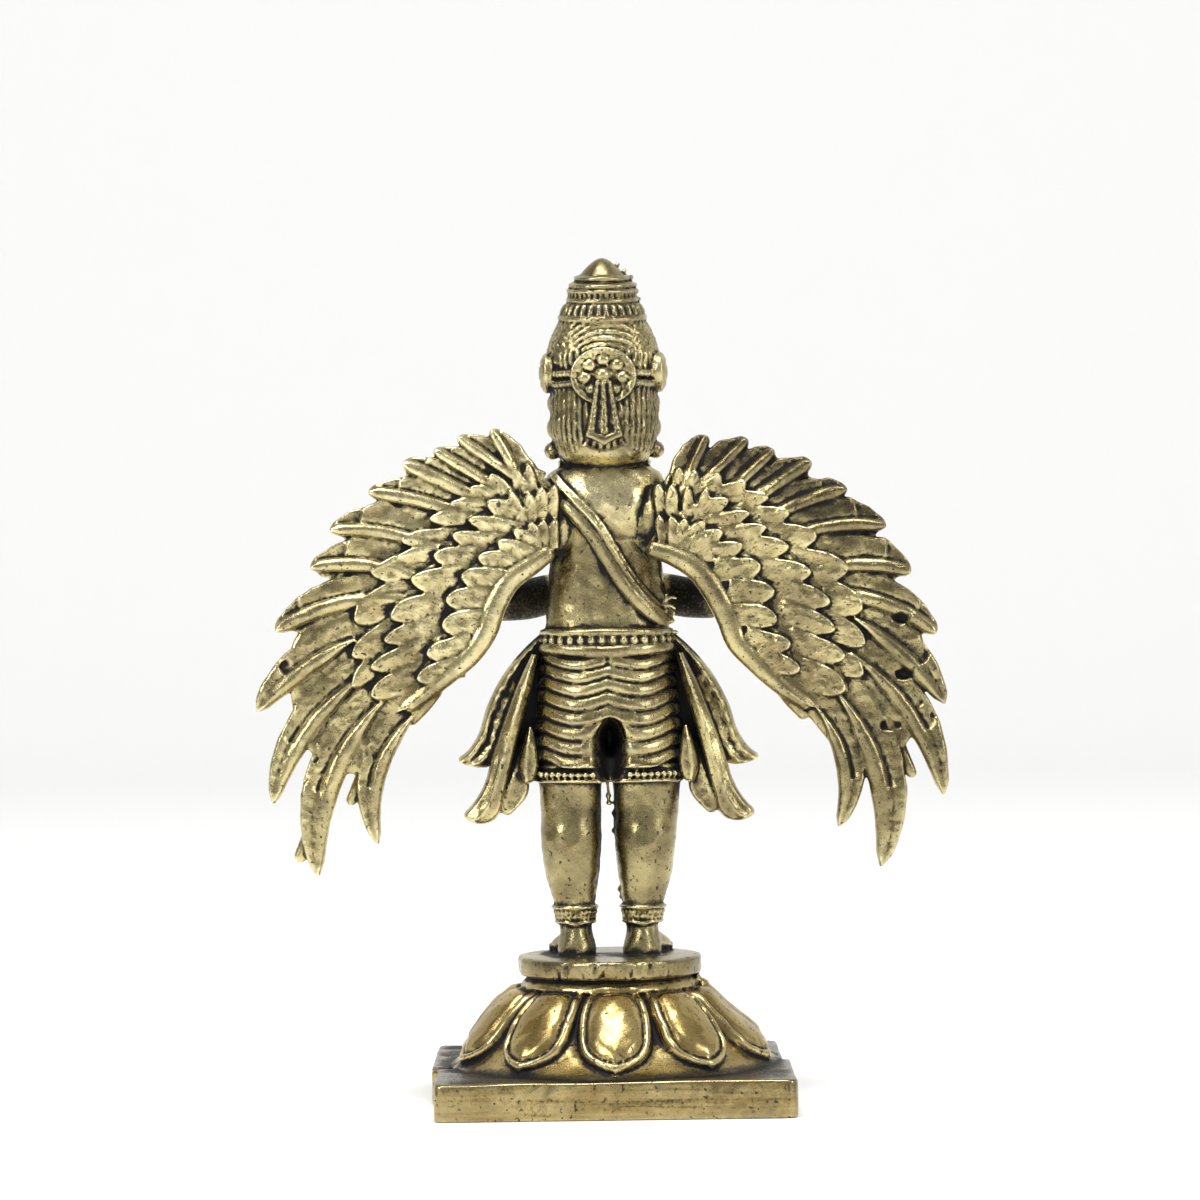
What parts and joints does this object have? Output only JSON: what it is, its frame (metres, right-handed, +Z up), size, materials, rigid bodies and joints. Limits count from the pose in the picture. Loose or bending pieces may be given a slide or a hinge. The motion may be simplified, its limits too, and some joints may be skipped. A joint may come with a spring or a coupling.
{
  "type": "winged figure statuette",
  "caption": "Cast standing figure with spread feathered wings and joined hands on a lotus pedestal with a square plate; a small brass ornament that stands on a flat surface.",
  "frame": {"origin": "middle of the square plate's underside", "axes": "+Z up, the figure faces -Y, +X towards the figure's own left wing"},
  "size_m": [0.0892, 0.046, 0.11],
  "materials": {
    "antique_brass": "cast brass with a blackened patina in the hollows, rubbed bright on the raised parts"
  },
  "bodies": {
    "root": {"garuda_figure": "antique_brass"}
  },
  "joints": []
}
